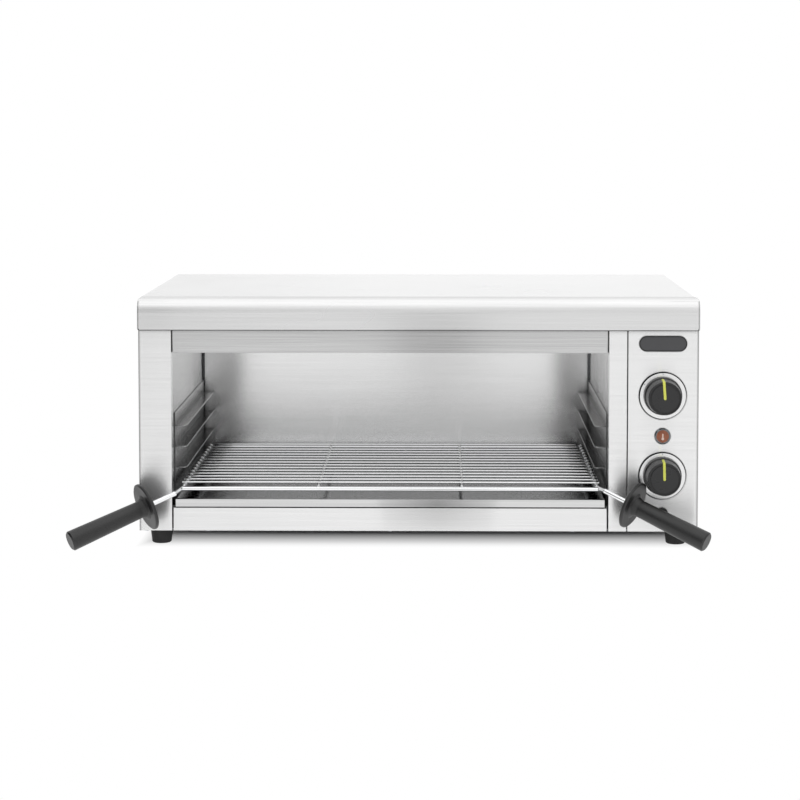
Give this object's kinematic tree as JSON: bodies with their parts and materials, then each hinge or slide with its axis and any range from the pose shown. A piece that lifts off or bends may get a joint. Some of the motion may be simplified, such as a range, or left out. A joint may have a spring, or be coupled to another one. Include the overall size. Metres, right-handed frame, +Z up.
{
  "type": "cheese melter",
  "caption": "Counter-top electric cheese melter: open-fronted steel grill with a pull-out wire rack on two black handles, drip tray and two control knobs.",
  "frame": {"origin": "on the counter, under the middle of the whole outline with the handles in it", "axes": "+X to the right seen from the front, +Y towards the back, +Z up"},
  "size_m": [0.6836, 0.4176, 0.271],
  "materials": {
    "cover_steel": "long horizontal brushing, satin",
    "outer_steel": "long horizontal brushing, satin",
    "plate_steel": "mill finish sheet",
    "cavity_steel": "fine brushed, near mirror",
    "guide_steel": "bright rolled sheet",
    "tray_steel": "bright rolled sheet",
    "rack_chrome": "chromed wire",
    "element_sheath": "dark annealed metal sheath",
    "bracket_steel": "plain sheet",
    "screw_steel": "bright zinc",
    "foot_rubber": "matte moulded rubber",
    "dial_aluminium": "satin disc with a dark rim",
    "control_case": "moulded case",
    "knob_plastic": "fine satin moulding",
    "pointer_plastic": "yellow-green insert",
    "black_plastic": "plain moulding",
    "lamp_amber": "translucent amber lens",
    "pale_plastic": "plain moulding",
    "badge_enamel": "dark satin enamel, bare",
    "sensor_copper": "drawn copper",
    "lead_insulation": "woven sleeve",
    "handle_bakelite": "moulded phenolic"
  },
  "bodies": {
    "housing": {"top_cover": "cover_steel", "left_side_panel": "outer_steel", "control_panel": "outer_steel", "right_post": "outer_steel", "top_rail": "outer_steel", "bottom_rail": "outer_steel", "base_plate": "plate_steel", "back_panel": "plate_steel", "cavity_left_wall": "cavity_steel", "cavity_right_wall": "cavity_steel", "cavity_back": "cavity_steel", "cavity_floor": "cavity_steel", "cavity_ceiling": "cavity_steel", "left_rack_guides": "guide_steel", "right_rack_guides": "guide_steel", "front_element": "element_sheath", "rear_element": "element_sheath", "element_brackets": "bracket_steel", "element_bushes": "bracket_steel", "bulb_clips": "bracket_steel", "foot_screws": "screw_steel", "base_screws": "screw_steel", "back_screws": "screw_steel", "feet": "foot_rubber", "upper_dial_ring": "dial_aluminium", "lower_dial_ring": "dial_aluminium", "upper_control": "control_case", "lower_control": "control_case", "safety_cutout": "control_case", "lamp_bezel": "black_plastic", "reset_collar": "black_plastic", "cable_gland": "black_plastic", "lamp_lens": "lamp_amber", "lamp_body": "pale_plastic", "terminal_block": "pale_plastic", "badge_plate": "badge_enamel", "sensor_bulb": "sensor_copper", "wiring": "lead_insulation"},
    "grill_rack": {"rack_frame": "rack_chrome", "rack_wires": "rack_chrome", "left_handle": "handle_bakelite", "right_handle": "handle_bakelite"},
    "tray": {"drip_tray": "tray_steel"},
    "upper_dial": {"upper_knob": "knob_plastic", "upper_pointer": "pointer_plastic", "upper_spindle": "screw_steel"},
    "lower_dial": {"lower_knob": "knob_plastic", "lower_pointer": "pointer_plastic", "lower_spindle": "screw_steel"},
    "reset": {"reset_button": "black_plastic"}
  },
  "joints": [
    {"name": "rack_slide", "type": "slide", "parent": "housing", "child": "grill_rack", "axis": [0, -1, 0], "range_m": [0, 0.25]},
    {"name": "tray_slide", "type": "slide", "parent": "housing", "child": "tray", "axis": [0, -1, 0], "range_m": [0, 0.25]},
    {"name": "upper_knob_turn", "type": "hinge", "parent": "housing", "child": "upper_dial", "pos_m": [0.29645, -0.12679, 0.1638], "axis": [0, 1, 0], "range_deg": [0, 270]},
    {"name": "lower_knob_turn", "type": "hinge", "parent": "housing", "child": "lower_dial", "pos_m": [0.29645, -0.12679, 0.0763], "axis": [0, 1, 0], "range_deg": [0, 270]},
    {"name": "reset_press", "type": "slide", "parent": "housing", "child": "reset", "axis": [0, 1, 0], "range_m": [0, 0.002], "stiffness_N_per_m": 400}
  ]
}
